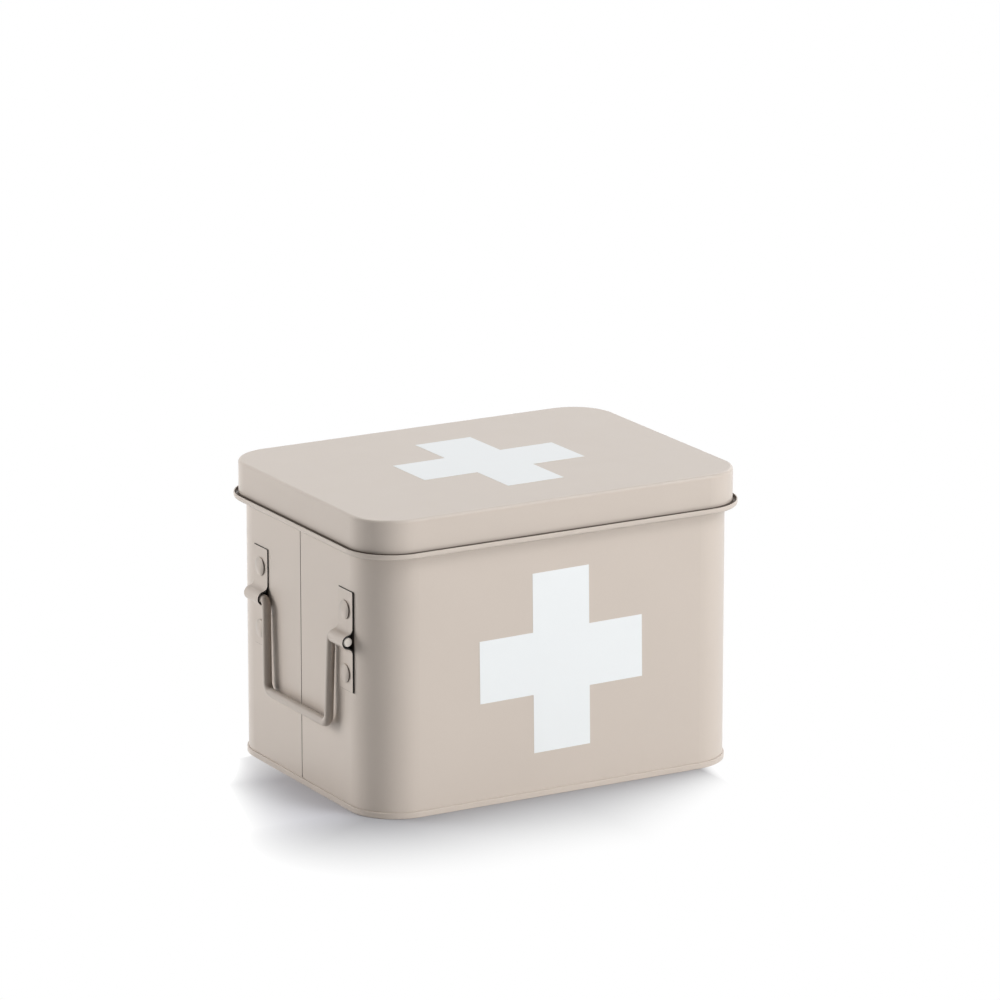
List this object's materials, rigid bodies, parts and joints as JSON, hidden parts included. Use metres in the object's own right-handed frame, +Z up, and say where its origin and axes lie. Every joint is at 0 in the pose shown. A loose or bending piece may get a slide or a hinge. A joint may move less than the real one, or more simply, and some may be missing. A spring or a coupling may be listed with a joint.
{
  "type": "medicine box",
  "caption": "Round-cornered sheet-steel medicine box with a deep beaded lid hinged at the back, plain white crosses on front and lid, and a drop wire handle at each end.",
  "frame": {"origin": "centre of the footprint, on the surface the box stands on", "axes": "+X along the front to the right, -Y out of the front, +Z up"},
  "size_m": [0.2332, 0.1712, 0.1601],
  "materials": {
    "shell_paint": "satin warm grey paint",
    "fitting_paint": "satin warm grey paint, bare dark cut edges",
    "handle_paint": "satin warm grey paint",
    "white_enamel": "smooth cool white enamel",
    "pin_steel": "drawn wire"
  },
  "bodies": {
    "box": {"base_pan": "shell_paint", "body_wall": "shell_paint", "front_cross": "white_enamel", "left_front_bracket": "fitting_paint", "left_front_lower_rivet": "fitting_paint", "left_front_upper_rivet": "fitting_paint", "left_hinge_body_left_rivet": "fitting_paint", "left_hinge_body_right_rivet": "fitting_paint", "left_hinge_lower_leaf": "fitting_paint", "left_hinge_pin": "pin_steel", "left_rear_bracket": "fitting_paint", "left_rear_lower_rivet": "fitting_paint", "left_rear_upper_rivet": "fitting_paint", "right_front_bracket": "fitting_paint", "right_front_lower_rivet": "fitting_paint", "right_front_upper_rivet": "fitting_paint", "right_hinge_body_left_rivet": "fitting_paint", "right_hinge_body_right_rivet": "fitting_paint", "right_hinge_lower_leaf": "fitting_paint", "right_hinge_pin": "pin_steel", "right_rear_bracket": "fitting_paint", "right_rear_lower_rivet": "fitting_paint", "right_rear_upper_rivet": "fitting_paint"},
    "lid": {"left_hinge_lid_left_rivet": "fitting_paint", "left_hinge_lid_right_rivet": "fitting_paint", "left_hinge_upper_leaf": "fitting_paint", "lid_cross": "white_enamel", "lid_shell": "shell_paint", "right_hinge_lid_left_rivet": "fitting_paint", "right_hinge_lid_right_rivet": "fitting_paint", "right_hinge_upper_leaf": "fitting_paint"},
    "left_handle": {"left_handle": "handle_paint"},
    "right_handle": {"right_handle": "handle_paint"}
  },
  "joints": [
    {"name": "lid_hinge", "type": "hinge", "parent": "box", "child": "lid", "pos_m": [0, 0.0826, 0.13756], "axis": [-1, 0, 0], "range_deg": [0, 148]},
    {"name": "left_handle_swing", "type": "hinge", "parent": "box", "child": "left_handle", "pos_m": [-0.1132, -0.0031, 0.092], "axis": [0, 1, 0], "range_deg": [0, 170]},
    {"name": "right_handle_swing", "type": "hinge", "parent": "box", "child": "right_handle", "pos_m": [0.1132, 0.004, 0.092], "axis": [0, -1, 0], "range_deg": [0, 170]}
  ]
}
